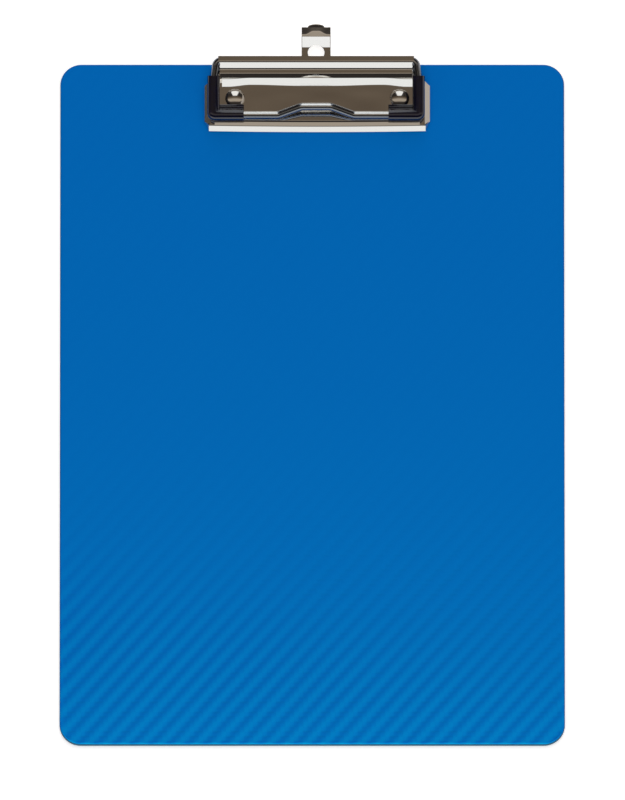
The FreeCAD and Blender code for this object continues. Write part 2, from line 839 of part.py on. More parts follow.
def make_boots(bail):
    """Both boots: cored for the bail, and relieved over the rivet heads."""
    left_form = make_boot_form()
    right_form = DOC.addObject("Part::Mirroring", "boot_form_mirrored")
    right_form.Source = left_form
    right_form.Normal = Vector(1, 0, 0)
    bind(right_form, {".Base.x": "Sizes.lever_offset"})
    ball = "((Sizes.rivet_head_radius ^ 2 + Sizes.rivet_head_height ^ 2)"
    ball = f"{ball} / (2 * Sizes.rivet_head_height))"
    base = "(Sizes.board_thickness + Sizes.plate_rise)"
    for side, form, label in ((-1, left_form, "left"), (1, right_form, "right")):
        relief = DOC.addObject("Part::Sphere", f"rivet_relief_{label}")
        bind(relief, {"Radius": f"{ball} + Sizes.foot_rivet_clearance"})
        across = f"Sizes.clip_offset + {side} * Sizes.rivet_spacing / 2"
        bind(relief, {".Placement.Base.x": across})
        bind(relief, {".Placement.Base.y": "Sizes.board_length / 2 - Sizes.rivet_setback"})
        bind(relief, {".Placement.Base.z": f"{base} + Sizes.rivet_head_height - {ball}"})
        relieved = DOC.addObject("Part::Cut", f"boot_relieved_{label}")
        relieved.Base = form
        relieved.Tool = relief
        boot = DOC.addObject("Part::Cut", f"corner_boot_{label}")
        boot.Base = relieved
        boot.Tool = bail
        keep(boot, f"corner_boot_{label}")


# ---- hanging eye --------------------------------------------------------------------------


def make_hanging_eye():
    """The sliding eye: a holed strip that dips past the board, a thumb tab and a wide tail."""
    centre = size("lever_offset")
    half = size("eye_width") / 2
    sheet = size("eye_sheet")
    middle = size("eye_gap") + sheet / 2
    tail_end = size("eye_tail_front_setback")
    strip = bent_sheet(
        [
            (tail_end, middle),
            (size("eye_bend_setback"), middle),
            (size("eye_dip_setback"), size("eye_dip_rise")),
            (size("eye_end_setback"), size("eye_end_rise")),
        ],
        size("eye_bend_radius"),
        sheet,
        centre - half,
        centre + half,
    )
    thumb_half = size("eye_thumb_half_width")
    thumb_end = size("eye_end_setback") - size("eye_thumb_length")
    shoulder = thumb_half / 2
    thumb = prism(
        [
            (centre - thumb_half, size("eye_end_setback") + sheet),
            (centre - thumb_half, size("eye_end_setback")),
            (centre - shoulder, thumb_end),
            (centre + shoulder, thumb_end),
            (centre + thumb_half, size("eye_end_setback")),
            (centre + thumb_half, size("eye_end_setback") + sheet),
        ],
        size("eye_end_rise") - sheet / 2,
        size("eye_end_rise") + sheet / 2,
    )
    wall_inner = size("deck_rear_setback") + sheet
    tail_half = size("eye_tail_width") / 2
    tail = block(
        centre - tail_half,
        centre + tail_half,
        wall_inner,
        tail_end,
        size("eye_gap"),
        size("eye_gap") + sheet,
    )
    below = spot(centre, size("eye_hole_setback"), -BEYOND)
    hole = Part.makeCylinder(size("eye_hole_radius"), 2 * BEYOND, below)
    return add_shape("hanging_eye", strip.fuse([thumb, tail]).cut(hole).removeSplitter())


# ---- the whole clipboard ------------------------------------------------------------------


def check_and_write():
    """Refuse any failed object or invalid shape, then write one file for each sub-part."""
    for item in DOC.Objects:
        if "Invalid" in item.State or "Error" in item.State:
            raise RuntimeError(f"{item.Label} failed: {item.State}")
    for item in SUBPARTS:
        if item.Shape.isNull() or not item.Shape.isValid():
            raise RuntimeError(f"{item.Label} has no valid shape")
    os.makedirs("parts", exist_ok=True)
    for item in SUBPARTS:
        item.Shape.exportStep(f"parts/{item.Label}.step")
        solids = len(item.Shape.Solids)
        print(f"{item.Label}: {solids} solid, {item.Shape.Volume:.1f} mm3")


def main():
    fill_sheet()
    make_board()
    make_base_plate()
    for side, end in ((-1, "left"), (1, "right")):
        make_rivet(side, f"rivet_{end}")
        make_washer(side, f"washer_{end}")
        make_spring(side, f"spring_{end}")
    make_pivot_pin()
    make_lever()
    make_boots(make_bail_wire())
    make_hanging_eye()
    DOC.recompute()
    check_and_write()


main()
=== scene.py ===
import math
from contextlib import contextmanager

import bmesh
import bpy
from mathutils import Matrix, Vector


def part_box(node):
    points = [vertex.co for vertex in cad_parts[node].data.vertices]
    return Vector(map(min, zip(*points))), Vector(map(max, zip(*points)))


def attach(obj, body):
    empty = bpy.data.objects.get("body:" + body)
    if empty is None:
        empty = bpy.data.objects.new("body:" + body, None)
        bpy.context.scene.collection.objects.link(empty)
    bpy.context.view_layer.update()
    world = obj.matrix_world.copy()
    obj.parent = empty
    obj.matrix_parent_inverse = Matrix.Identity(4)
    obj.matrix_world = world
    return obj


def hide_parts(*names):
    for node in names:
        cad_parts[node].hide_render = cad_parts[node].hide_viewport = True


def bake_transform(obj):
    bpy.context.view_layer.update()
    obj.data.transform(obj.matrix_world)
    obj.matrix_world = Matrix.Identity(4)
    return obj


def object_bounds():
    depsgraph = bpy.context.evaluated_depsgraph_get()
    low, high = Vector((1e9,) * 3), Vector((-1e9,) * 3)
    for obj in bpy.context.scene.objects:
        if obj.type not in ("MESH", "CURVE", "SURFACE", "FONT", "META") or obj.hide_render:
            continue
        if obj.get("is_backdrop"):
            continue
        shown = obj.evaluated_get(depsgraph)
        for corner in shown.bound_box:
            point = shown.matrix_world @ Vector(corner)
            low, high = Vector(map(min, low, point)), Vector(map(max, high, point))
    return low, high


# An A4 clipboard on a pale floor. Shapes are worked out in millimetres in the row frame and
# written to meshes in metres. "Across" is the row's X, "setback" is a distance from the board's
# top edge towards its middle, and "rise" is a height above the board's writing face. A profile
# is a list of (setback, rise) points, and a span is a pair of places that a change runs between.

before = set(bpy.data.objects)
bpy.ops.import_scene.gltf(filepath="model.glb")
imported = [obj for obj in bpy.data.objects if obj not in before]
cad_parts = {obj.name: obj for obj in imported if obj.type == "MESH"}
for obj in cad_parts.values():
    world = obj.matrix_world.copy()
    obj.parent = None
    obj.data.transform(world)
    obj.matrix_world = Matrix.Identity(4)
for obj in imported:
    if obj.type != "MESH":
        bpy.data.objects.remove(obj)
CAD_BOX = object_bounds()

MM = 0.001


def low(node):
    """A CAD node's lowest corner in millimetres."""
    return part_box(node)[0] / MM


def high(node):
    """A CAD node's highest corner in millimetres."""
    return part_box(node)[1] / MM


def middle_of(node):
    """The middle of a CAD node's box in millimetres."""
    return (low(node) + high(node)) / 2


TOP = high("board").y
FACE = high("board").z
CLIP = (low("base_plate").x + high("base_plate").x) / 2
LEVER = (low("lever").x + high("lever").x) / 2
BASE_BODY = "board_and_base"
LEVER_BODY = "lever_and_bail"
EYE_BODY = "eye"
SHEET_EDGE = 0.13
OVERSHOOT = 1
RUN_STEPS = 6
ARC_STEPS = 9
SHARP_ANGLE = math.radians(32)
SAME_PLACE = 0.001
WELD_DISTANCE = 0.002
SHORTEST_EDGE = 0.001
TOW_WIDTH = 2.03
TOW_LENGTH = 2.285
TWILL_REPEAT = 4


def spot(across, setback, rise):
    """A point in the row frame, in millimetres."""
    return Vector((across, TOP - setback, FACE + rise))


def on_clip(x, setback, rise):
    """A point at a distance across from the base plate's middle."""
    return spot(CLIP + x, setback, rise)


def on_lever(x, setback, rise):
    """A point at a distance across from the middle of the lever, the bail and the eye."""
    return spot(LEVER + x, setback, rise)


# ---- mesh helpers -------------------------------------------------------------------------


@contextmanager
def editing(mesh):
    """A mesh as a bmesh, which is written back at the end."""
    work = bmesh.new()
    work.from_mesh(mesh)
    yield work
    work.to_mesh(mesh)
    work.free()


def weld(mesh):
    """Join points that lie in one place, and drop the faces that this leaves empty or doubled."""
    with editing(mesh) as work:
        bmesh.ops.remove_doubles(work, verts=work.verts, dist=WELD_DISTANCE * MM)
        bmesh.ops.dissolve_degenerate(work, edges=work.edges, dist=SHORTEST_EDGE * MM)
    mesh.validate()


def new_object(name, points, faces):
    """A mesh object from points in millimetres, with points that coincide welded."""
    mesh = bpy.data.meshes.new(name)
    mesh.from_pydata([point * MM for point in points], [], faces)
    made = bpy.data.objects.new(name, mesh)
    bpy.context.scene.collection.objects.link(made)
    weld(mesh)
    return made


def new_solid(name, points, faces):
    """A closed mesh object whose faces look outwards."""
    made = new_object(name, points, faces)
    with editing(made.data) as work:
        bmesh.ops.recalc_face_normals(work, faces=work.faces)
    return made


def bake(made):
    """Apply an object's modifiers, and clean what they left behind."""
    graph = bpy.context.evaluated_depsgraph_get()
    solved = bpy.data.meshes.new_from_object(made.evaluated_get(graph))
    weld(solved)
    made.modifiers.clear()
    made.data = solved
    return made


def shade(made):
    """Smooth shading that keeps the sharp edges sharp."""
    with editing(made.data) as work:
        for face in work.faces:
            face.smooth = True
        for edge in work.edges:
            joined = len(edge.link_faces) == 2
            edge.smooth = joined and edge.calc_face_angle() < SHARP_ANGLE


def round_edges(made, width, angle=50):
    """Bevel every edge sharper than an angle in degrees."""
    bevel = made.modifiers.new("edges", "BEVEL")
    bevel.width = width * MM
    bevel.segments = 2
    bevel.limit_method = "ANGLE"
    bevel.angle_limit = math.radians(angle)
    bevel.use_clamp_overlap = True
    return bake(made)


def thicken(made, thickness):
    """Give an open sheet its thickness, below its own faces, and soften its cut edges."""
    solid = made.modifiers.new("sheet", "SOLIDIFY")
    solid.thickness = thickness * MM
    solid.offset = -1
    solid.use_even_offset = True
    bake(made)
    return round_edges(made, SHEET_EDGE)


def combine(made, other, operation, folded=False):
    """Boolean two objects into the first, which may be folded onto itself."""
    cut = made.modifiers.new("combine", "BOOLEAN")
    cut.object = other
    cut.operation = operation
    cut.solver = "EXACT"
    cut.use_self = folded
    bake(made)
    bpy.data.objects.remove(other)
    return made


def join(main, others):
    """Join objects into the first one."""
    bpy.context.view_layer.update()
    with bpy.context.temp_override(active_object=main, selected_editable_objects=[main, *others]):
        bpy.ops.object.join()
    return main


def add_piece(made, body, material, node):
    """Finish a piece: shading, material and body, and hide the CAD node that it stands for."""
    shade(made)
    made.data.materials.clear()
    made.data.materials.append(material)
    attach(made, body)
    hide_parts(node)
    return made


# ---- lines, sheets and solids -------------------------------------------------------------


def ease(value, start, end):
    """A smooth step from 0 at start to 1 at end."""
    share = min(1.0, max(0.0, (value - start) / (end - start)))
    return share * share * (3 - 2 * share)


def spread(start, end, step):
    """Even values from start to end, about a step apart."""
    count = max(1, math.ceil(abs(end - start) / step))
    return [start + (end - start) * k / count for k in range(count + 1)]


def turns(start, end, step):
    """Angles in radians, from a start, an end that is left out and a step in degrees."""
    return [math.radians(angle) for angle in range(start, end, step)]


def both_halves(half):
    """Values from left to right, from those of the right half, which start at the middle."""
    return [-value for value in reversed(half[1:])] + half


def run_points(start, end, steps):
    """Points along a straight run without its end, set close to both ends."""
    margin = 0.04
    shares = [0, margin] + [k / steps for k in range(1, steps)] + [1 - margin]
    return [start.lerp(end, share) for share in shares]


def bent_line(points, radii, steps=RUN_STEPS, arc_steps=ARC_STEPS):
    """Points along straight runs that are joined by tangent arcs."""
    dense = []
    start = points[0]
    for before, corner, after, radius in zip(points, points[1:], points[2:], radii):
        inward = (before - corner).normalized()
        outward = (after - corner).normalized()
        half_angle = inward.angle(outward) / 2
        first = corner + inward * (radius / math.tan(half_angle))
        middle = (inward + outward).normalized()
        centre = corner + middle * (radius / math.sin(half_angle))
        turn = math.pi - 2 * half_angle
        toward_first = (first - centre) / radius
        dense += run_points(start, first, steps)
        for k in range(arc_steps):
            angle = turn * k / arc_steps
            dense.append(centre + radius * (toward_first * math.cos(angle) - inward * math.sin(angle)))
        start = corner + outward * (radius / math.tan(half_angle))
    return dense + run_points(start, points[-1], steps) + [points[-1]]


def profile(points, radii, steps=RUN_STEPS):
    """A bent line of (setback, rise) points."""
    flat = [Vector((first, second, 0)) for first, second in points]
    return [(point.x, point.y) for point in bent_line(flat, radii, steps)]


def grid_faces(first, wide, deep):
    """Faces of a grid of points, numbered from its first, whose rows run one after another."""
    faces = []
    for j in range(deep - 1):
        for i in range(wide - 1):
            corner = first + j * wide + i
            faces.append((corner, corner + wide, corner + wide + 1, corner + 1))
    return faces


def ring_faces(count, sides):
    """Faces of a row of closed rings of points, numbered one ring after another."""
    faces = []
    for j in range(count - 1):
        this = j * sides
        following = this + sides
        for k in range(sides):
            after = (k + 1) % sides
            faces.append((this + k, this + after, following + after, following + k))
    return faces


class Surface:
    """Points and faces of an open sheet, made zone by zone."""

    def __init__(self):
        self.points = []
        self.faces = []

    def add_zone(self, columns, rows, place):
        """Add a zone of faces that look up, with columns to the right and rows to the front."""
        self.faces += grid_faces(len(self.points), len(columns), len(rows))
        for row in rows:
            for column in columns:
                self.points.append(place(column, row))

    def add_bent_zone(self, columns, line_at, place):
        """Add a zone whose profile, with a fixed count of points, changes from column to column."""
        lines = {column: line_at(column) for column in columns}
        rows = range(len(lines[columns[0]]))
        self.add_zone(columns, rows, lambda column, index: place(column, *lines[column][index]))

    def add_face(self, corners):
        """Add one face, its corners anticlockwise from above."""
        base = len(self.points)
        self.points += corners
        self.faces.append(tuple(range(base, base + len(corners))))

    def make(self, name):
        """The sheet as an object."""
        return new_object(name, self.points, self.faces)


def extrude_outline(name, outline, direction):
    """A closed solid: an outline of points pushed along a direction."""
    count = len(outline)
    points = outline + [point + direction for point in outline]
    faces = [tuple(range(count)), tuple(range(2 * count - 1, count - 1, -1))]
    for i in range(count):
        after = (i + 1) % count
        faces.append((i, i + count, after + count, after))
    return new_solid(name, points, faces)


def tube(name, path, radius, sides):
    """A round bar along a path, with softened ends."""
    edge = radius * 0.25
    softening = [(0.0, 0.6), (edge * 0.35, 0.88), (edge, 1.0)]
    rings = []
    last = len(path) - 1
    upward = Vector((0, 0, 1))
    for index, point in enumerate(path):
        heading = (path[min(index + 1, last)] - path[max(index - 1, 0)]).normalized()
        upward = (upward - heading * upward.dot(heading)).normalized()
        rings.append((point, heading, upward, radius))
    start, heading, upward, _ = rings[0]
    finish, end_heading, end_upward, _ = rings[-1]
    first = [(start + heading * move, heading, upward, radius * share) for move, share in softening]
    final = [
        (finish - end_heading * move, end_heading, end_upward, radius * share)
        for move, share in reversed(softening)
    ]
    rings = first + rings[1:-1] + final
    points = []
    for point, heading, upward, size in rings:
        sideways = heading.cross(upward)
        for k in range(sides):
            angle = 2 * math.pi * k / sides
            points.append(point + size * (upward * math.cos(angle) + sideways * math.sin(angle)))
    faces = ring_faces(len(rings), sides)
    faces.append(tuple(range(sides)))
    faces.append(tuple(range(len(points) - sides, len(points))))
    return new_solid(name, points, faces)


def lathe(name, outline, centre, sides=72):
    """A turned solid: (radius, height) points, from axis to axis, round an upright line."""
    points = []
    for radius, height in outline:
        for k in range(sides):
            angle = 2 * math.pi * k / sides
            points.append(centre + Vector((radius * math.cos(angle), radius * math.sin(angle), height)))
    return new_solid(name, points, ring_faces(len(outline), sides))


# ---- materials ----------------------------------------------------------------------------

# Spans of the wire's painted shade: on faces that look to the front, and on faces that look sideways.
FRONT_PAINTED_SHADE_SPAN = (-0.25, -0.5)
SLANT_PAINTED_SHADE_SPAN = (0.08, 0.16)
# The twill's painted sheen: the span over which it grows towards the front edge, and its full and faint
# gains.
TWILL_SPAN = (70 * MM, 140 * MM)
TWILL_LEAN = 0.2
TWILL_GAIN = 0.25
TWILL_FAINT_GAIN = 0.01
CLOUD_GAIN = 0.12
RIM_SHADE_SPAN = (2.5 * MM, 2.98 * MM)

# Numbers of the Mix node's colour sockets.
MIX_FIRST = 6
MIX_SECOND = 7
MIX_RESULT = 2


class Nodes:
    """Short calls for building a node tree."""

    def __init__(self, tree):
        self.tree = tree
        tree.nodes.clear()

    def add(self, kind, inputs=None, **settings):
        """A new node with its settings and inputs."""
        node = self.tree.nodes.new(kind)
        for name, value in settings.items():
            setattr(node, name, value)
        for name, value in (inputs or {}).items():
            self.feed(node, name, value)
        return node

    def feed(self, node, name, value):
        """Join an input to a socket or give it a value; a colour may leave out its alpha."""
        if isinstance(value, bpy.types.NodeSocket):
            self.tree.links.new(value, node.inputs[name])
        elif isinstance(value, tuple) and len(value) == 3:
            node.inputs[name].default_value = (*value, 1)
        else:
            node.inputs[name].default_value = value

    def maths(self, operation, first, second=0.0, third=0.0):
        """The result of a Math node."""
        return self.add("ShaderNodeMath", {0: first, 1: second, 2: third}, operation=operation).outputs[0]

    def axes(self, vector):
        """A vector's x, y and z."""
        split = self.add("ShaderNodeSeparateXYZ", {"Vector": vector})
        return [split.outputs[name] for name in "XYZ"]

    def smooth(self, value, start, end):
        """A smooth step of a value from 0 at start to 1 at end."""
        inputs = {"Value": value, "From Min": start, "From Max": end}
        return self.add("ShaderNodeMapRange", inputs, interpolation_type="SMOOTHSTEP").outputs["Result"]

    def noise(self, vector, scale, detail=2.0):
        """Cloudy noise from 0 to 1."""
        inputs = {"Vector": vector, "Scale": scale, "Detail": detail}
        return self.add("ShaderNodeTexNoise", inputs).outputs["Fac"]

    def bump(self, height, strength, distance):
        """A normal that is tilted as a height's slope would tilt it."""
        inputs = {"Height": height, "Strength": strength, "Distance": distance}
        return self.add("ShaderNodeBump", inputs).outputs["Normal"]

    def mix(self, factor, first, second):
        """A colour from the first, where the factor is 0, to the second, where it is 1."""
        node = self.add("ShaderNodeMix", {"Factor": factor}, data_type="RGBA")
        self.feed(node, MIX_FIRST, first)
        self.feed(node, MIX_SECOND, second)
        return node.outputs[MIX_RESULT]

    def ramp(self, factor, stops):
        """A colour ramp from (place, colour) stops in rising order."""
        node = self.add("ShaderNodeValToRGB", {"Fac": factor})
        elements = node.color_ramp.elements
        elements.remove(elements[1])
        elements[0].position = stops[0][0]
        elements[0].color = (*stops[0][1], 1)
        for place, colour in stops[1:]:
            elements.new(place).color = (*colour, 1)
        return node.outputs["Color"]


def new_material(name):
    """An empty material, its node helper and its object coordinates."""
    material = bpy.data.materials.new(name)
    material.use_nodes = True
    nodes = Nodes(material.node_tree)
    place = nodes.add("ShaderNodeTexCoord").outputs["Object"]
    return material, nodes, place


def close_material(nodes, **inputs):
    """Finish a material with a Principled shader."""
    spaced = {name.replace("_", " "): value for name, value in inputs.items()}
    shader = nodes.add("ShaderNodeBsdfPrincipled", spaced)
    nodes.add("ShaderNodeOutputMaterial", {"Surface": shader.outputs[0]})


def painted_flank_shade(nodes, colour, painted_shade):
    """A colour that turns to a painted shade colour on faces that look to the front and on slanted and
    side faces: painted shade in place of dark reflections there.
    """
    across, along, _ = nodes.axes(nodes.add("ShaderNodeTexCoord").outputs["Normal"])
    front = nodes.smooth(along, *FRONT_PAINTED_SHADE_SPAN)
    sideways = nodes.smooth(nodes.maths("ABSOLUTE", across), *SLANT_PAINTED_SHADE_SPAN)
    return nodes.mix(nodes.maths("MAXIMUM", front, sideways), colour, painted_shade)


def plated_metal(name, colour, roughness, ripple, painted_shade=None):
    """Bright plating: faint ripples, patches of finer and coarser polish, and painted shade on some faces
    where a shade colour is given.
    """
    material, nodes, place = new_material(name)
    patches = nodes.noise(place, scale=160.0)
    limits = {"Value": patches, "To Min": roughness * 0.6, "To Max": roughness * 1.5}
    grain = nodes.noise(place, scale=900.0, detail=3.0)
    close_material(
        nodes,
        Base_Color=painted_flank_shade(nodes, colour, painted_shade) if painted_shade else colour,
        Metallic=1.0,
        Roughness=nodes.add("ShaderNodeMapRange", limits).outputs["Result"],
        Normal=nodes.bump(grain, strength=ripple, distance=0.00002),
    )
    return material


def steel_wire(name, colour, roughness):
    """Drawn or turned steel, with fine lines round it."""
    material, nodes, place = new_material(name)
    lines = nodes.add("ShaderNodeTexWave", {"Vector": place, "Scale": 700.0, "Distortion": 1.5})
    close_material(
        nodes,
        Base_Color=colour,
        Metallic=1.0,
        Roughness=roughness,
        Normal=nodes.bump(lines.outputs["Fac"], strength=0.15, distance=0.00001),
    )
    return material


def boot_plastic():
    """Glossy near-black plastic with a navy cast."""
    material, nodes, place = new_material("boot_plastic_look")
    clouds = nodes.noise(place, scale=300.0)
    close_material(
        nodes,
        Base_Color=nodes.ramp(clouds, [(0.35, (0.001, 0.002, 0.020)), (0.7, (0.002, 0.003, 0.032))]),
        Roughness=0.12,
        IOR=1.8,
        Normal=nodes.bump(clouds, strength=0.25, distance=0.00005),
    )
    return material


def twill_painted_sheen(nodes, x, y):
    """Lighter and darker diagonals that follow the moulded tows, round a half, partly in steps: a painted
    sheen, faint near the clip and stronger towards the front edge.
    """
    column = nodes.maths("DIVIDE", x, TOW_WIDTH * MM)
    row = nodes.maths("DIVIDE", y, TOW_LENGTH * MM)
    stepped = (nodes.maths("FLOOR", column), nodes.maths("FLOOR", row))
    waves = []
    for first, second in ((column, row), stepped):
        diagonal = nodes.maths("SUBTRACT", first, second)
        phase = nodes.maths("MULTIPLY", diagonal, 2 * math.pi / TWILL_REPEAT)
        waves.append(nodes.maths("COSINE", phase))
    toward_front = nodes.maths("MULTIPLY_ADD", x, -TWILL_LEAN, nodes.maths("MULTIPLY", y, -1.0))
    strength = nodes.smooth(toward_front, *TWILL_SPAN)
    gain = nodes.maths("MULTIPLY_ADD", strength, TWILL_GAIN, TWILL_FAINT_GAIN)
    return nodes.maths("MULTIPLY_ADD", nodes.maths("ADD", *waves), gain, 0.5)


def board_plastic():
    """Matt blue polypropylene: painted sheen on the moulded twill, faint clouds, and painted shade on the
    rim below the face.
    """
    material, nodes, place = new_material("board_plastic_look")
    x, y, z = nodes.axes(place)
    clouds = nodes.noise(place, scale=18.0)
    twill = nodes.maths("SUBTRACT", twill_painted_sheen(nodes, x, y), CLOUD_GAIN / 2)
    tone = nodes.maths("MULTIPLY_ADD", clouds, CLOUD_GAIN, twill)
    face = nodes.ramp(tone, [(0.0, (0.0, 0.136, 0.605)), (1.0, (0.0, 0.188, 0.648))])
    # Painted shade: the rim is deep navy below this span of heights and takes the face's colour towards
    # the face.
    near_face = nodes.smooth(z, *RIM_SHADE_SPAN)
    grain = nodes.noise(place, scale=2600.0, detail=1.0)
    close_material(
        nodes,
        Base_Color=nodes.mix(near_face, (0.003, 0.026, 0.085), face),
        Roughness=0.42,
        Specular_IOR_Level=0.15,
        Specular_Tint=(0.05, 0.75, 1.0),
        Normal=nodes.bump(grain, strength=0.12, distance=0.00003),
    )
    return material


NICKEL = plated_metal("nickel_look", (0.80, 0.775, 0.735), 0.07, 0.2)
RIVET_METAL = plated_metal("rivet_metal_look", (0.78, 0.74, 0.68), 0.10, 0.3)
# The wire's last colour is painted shade for its front flank and its slanted and side faces.
WIRE_METAL = plated_metal("wire_metal_look", (0.72, 0.725, 0.71), 0.17, 0.3, (0.22, 0.235, 0.26))
PIN_STEEL = steel_wire("pin_steel_look", (0.55, 0.54, 0.52), 0.28)
SPRING_STEEL = steel_wire("spring_steel_look", (0.42, 0.41, 0.40), 0.32)
BOOT_PLASTIC = boot_plastic()
BOARD_PLASTIC = board_plastic()


# ---- board --------------------------------------------------------------------------------

CORNER_RADIUS = 9.5
RIM_RADIUS = 0.8
INNER_RADIUS = CORNER_RADIUS - RIM_RADIUS
HALF_WIDTH = high("board").x
HALF_LENGTH = TOP
CORNER_X = HALF_WIDTH - CORNER_RADIUS
CORNER_Y = HALF_LENGTH - CORNER_RADIUS
WEAVE_DEPTH = 0.16
WEAVE_STEP = 0.68
WEAVE_TOP = 20.0
WEAVE_FULL = HALF_LENGTH - 10
FAINT_WEAVE = 0.10
WEAVE_MARGIN = 1.2
DIAGONAL_SHARE = 0.62
CROSSING = 0.25
PLAIN_STEP = 2.2
WELL_RADIUS = 4.8
WELL_DEPTH = 1.3


def tow_crown(value):
    """How high a rounded tow stands across its width, from 0 at its sides to 1."""
    across = 2 * (value - math.floor(value)) - 1
    return 1 - across * across


def weave(x, y):
    """Height of a two-by-two twill whose diagonals climb to the right, from 0 to 1."""
    column = x / TOW_WIDTH
    row = y / TOW_LENGTH
    diagonal = math.cos(2 * math.pi * (column - row) / TWILL_REPEAT)
    upright_over = ease(diagonal, -CROSSING, CROSSING)
    crowns = upright_over * tow_crown(column) + (1 - upright_over) * tow_crown(row)
    return DIAGONAL_SHARE * (0.5 + 0.5 * diagonal) + (1 - DIAGONAL_SHARE) * crowns


def relief(x, y):
    """Depth of the moulded weave below the face: it fades towards the clip and at the rim."""
    strength = FAINT_WEAVE + (1 - FAINT_WEAVE) * ease(-y, -WEAVE_TOP, WEAVE_FULL)
    rim = min(HALF_WIDTH - abs(x), HALF_LENGTH - abs(y))
    strength *= ease(rim, RIM_RADIUS, RIM_RADIUS + WEAVE_MARGIN)
    return WEAVE_DEPTH * strength * (1 - weave(x, y))


def board_rows():
    """Where the face's rows lie, from the top edge down, closer in the corners and the weave."""
    bends = [CORNER_Y + INNER_RADIUS * math.cos(turn) for turn in turns(0, 90, 6)]
    plain = spread(CORNER_Y, WEAVE_TOP, PLAIN_STEP)
    woven = spread(WEAVE_TOP, -CORNER_Y, WEAVE_STEP)
    return bends + plain + woven[1:] + [-y for y in reversed(bends)]


def face_points(rows, shares):
    """Points of the woven face, and the outward direction at the right end of each row."""
    points = []
    outwards = []
    for y in rows:
        beyond = max(0.0, abs(y) - CORNER_Y)
        reach = CORNER_X + math.sqrt(max(0.0, INNER_RADIUS ** 2 - beyond ** 2))
        for share in shares:
            x = share * reach
            points.append(Vector((x, y, FACE - relief(x, y))))
        outwards.append(Vector((reach - CORNER_X, math.copysign(beyond, y), 0)).normalized())
    return points, outwards


def face_border(wide, outwards):
    """Numbers and outward directions of the points round the face, clockwise from the top left."""
    deep = len(outwards)
    last_row = (deep - 1) * wide
    border = [(i, Vector((0, 1, 0))) for i in range(1, wide - 1)]
    border += [(j * wide + wide - 1, outwards[j]) for j in range(deep)]
    border += [(last_row + i, Vector((0, -1, 0))) for i in range(wide - 2, 0, -1)]
    border += [(j * wide, Vector((-outwards[j].x, outwards[j].y, 0))) for j in range(deep - 1, -1, -1)]
    return border


def rim_section():
    """How far out and how high the rings of the rounded rim lie, from the face to the back."""
    lower = []
    for turn in turns(15, 91, 15):
        lower.append((RIM_RADIUS * math.sin(turn), RIM_RADIUS * (1 - math.cos(turn))))
    upper = [(out, FACE - height) for out, height in lower]
    return upper + lower[::-1] + [(0.0, 0.0)]


def make_board():
    """The board: a woven face, a rounded rim, a flat back and a well for each rivet's tail."""
    rows = board_rows()
    shares = spread(-1, 1, WEAVE_STEP / (HALF_WIDTH - RIM_RADIUS))
    points, outwards = face_points(rows, shares)
    faces = grid_faces(0, len(shares), len(rows))
    border = face_border(len(shares), outwards)
    upper = [index for index, _ in border]
    for out, height in rim_section():
        lower = []
        for index, outward in border:
            lower.append(len(points))
            points.append(Vector((points[index].x, points[index].y, height)) + outward * out)
        faces += zip(upper, lower, lower[1:] + lower[:1], upper[1:] + upper[:1])
        upper = lower
    faces.append(tuple(upper))
    board = new_solid("board_panel", points, faces)
    for node in ("washer_left", "washer_right"):
        middle = middle_of(node)
        well = [(0, -OVERSHOOT), (WELL_RADIUS, -OVERSHOOT), (WELL_RADIUS, WELL_DEPTH), (0, WELL_DEPTH)]
        cutter = lathe("well", well, Vector((middle.x, middle.y, 0)))
        combine(board, cutter, "DIFFERENCE")
    return add_piece(board, BASE_BODY, BOARD_PLASTIC, "board")


# ---- base plate ---------------------------------------------------------------------------

PLATE_SHEET = 0.8
PLATE_RISE = 2.8
PLATE_COLUMN = 2.0
BESIDE_EYE = 6.9
SLOPE_HALF_WIDTH = 42.7
ARM_HALF_WIDTH = 46.0
LIP_HALF_WIDTH = 48.6
WINDOW_HALF_WIDTH = 41.6
WINDOW_FRONT = 8.0
DECK = [(0.9, 0.08), (0.9, PLATE_RISE), (2.9, PLATE_RISE)]
DECK_RADII = [0.9]
ARM_STEP = 1.5
ARM_MIDDLE = WINDOW_FRONT + 2.0
KNEE = 12.4
CREST_END = (6.9, 5.35)
SLOPE_TOP = (7.9, 5.25)
SLOPE_RADII = [0.5, 0.3]
SLOPE_FOOT = 11.0
FOOT_DRAWN_BACK = 0.5
DRAWN_BACK_SPAN = (8, 28)
FOOT_SWING = 0.95
TOP_SWING = 0.5
SWING_SPAN = (30, 40)
LIP = [(KNEE, PLATE_RISE), (26.9, PLATE_RISE), (27.55, 2.54), (29.4, 2.28), (31.45, 0.35)]
LIP_RADII = [0.6, 1.2, 0.6]
LIP_STEPS = 10
LIP_START = 29.0
LIP_COLUMN = 0.4
FRONT_BOW = 0.45
BOW_SPAN = (20, 31)
FLAT_WAVES = 0.03
WAVY_SIDE_SPAN = (ARM_HALF_WIDTH, 34)
WAVY_REAR_SPAN = (KNEE, 17)
WAVY_FRONT_SPAN = (28.5, 23.5)
FLANGE = [(ARM_HALF_WIDTH, PLATE_RISE), (48.15, PLATE_RISE), (50.5, 0.75)]
FLANGE_RADII = [0.8]
FLANGE_REAR = 8.5
FLANGE_SLANT = 1.7
FLANGE_BEND = 47.3
FLANGE_SPAN = (FLANGE[1][0] - 0.5, FLANGE[2][0])
MITRE = 1.8
MITRE_LENGTH = 3 * MITRE
TUCKED_CORNER = [(48.3, 0.2, 2.1), (48.9, 1.3, 0.6), (50.3, -MITRE - 0.1, 0.85)]
BASE_EAR = 2.0
BASE_EAR_ROOT = PLATE_RISE - 0.4


